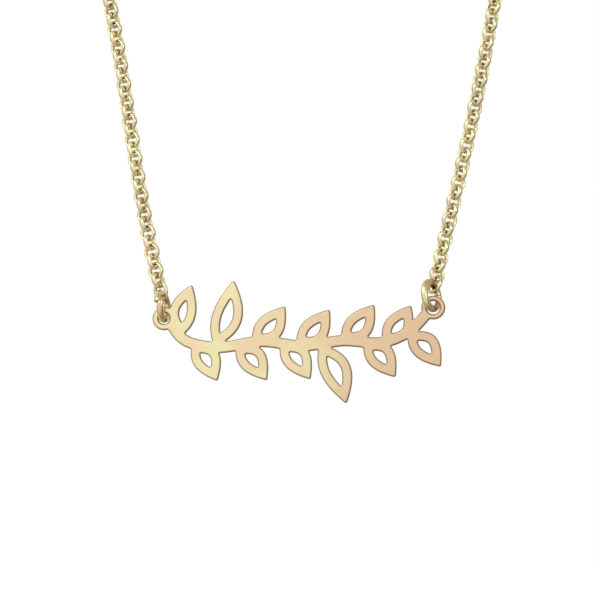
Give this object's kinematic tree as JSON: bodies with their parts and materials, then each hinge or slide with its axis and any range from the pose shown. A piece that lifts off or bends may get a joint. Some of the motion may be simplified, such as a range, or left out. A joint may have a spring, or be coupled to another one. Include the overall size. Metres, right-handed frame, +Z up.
{
  "type": "nameplate necklace",
  "caption": "Gold necklace: a pierced leaf-branch plate hangs on jump rings from a fine chain of round links, closed by a spring ring at the nape.",
  "frame": {"origin": "the nape of the neck, at the middle of the clasp's closed ring", "axes": "+Z up, -Y forward out of the wearer's chest, +X to the right in a front view; the plate hangs in front and faces -Y"},
  "size_m": [0.0963, 0.1037, 0.1518],
  "materials": {
    "plate_gold": "polished",
    "ring_gold": "polished",
    "chain_gold": "polished"
  },
  "bodies": {
    "necklace": {"jump_ring_left": "ring_gold", "jump_ring_right": "ring_gold", "end_ring_left": "ring_gold", "end_ring_right": "ring_gold", "chain_left": "chain_gold", "chain_right": "chain_gold", "chain_back_left": "chain_gold", "chain_back_right": "chain_gold", "clasp": "ring_gold", "clasp_ring_left": "ring_gold", "clasp_ring_right": "ring_gold"},
    "plate": {"nameplate": "plate_gold"}
  },
  "joints": [
    {"name": "nameplate_swing", "type": "hinge", "parent": "necklace", "child": "plate", "pos_m": [0, -0.1, -0.138], "axis": [0.9995, 0, 0.0306], "range_deg": [-10, 10]}
  ]
}
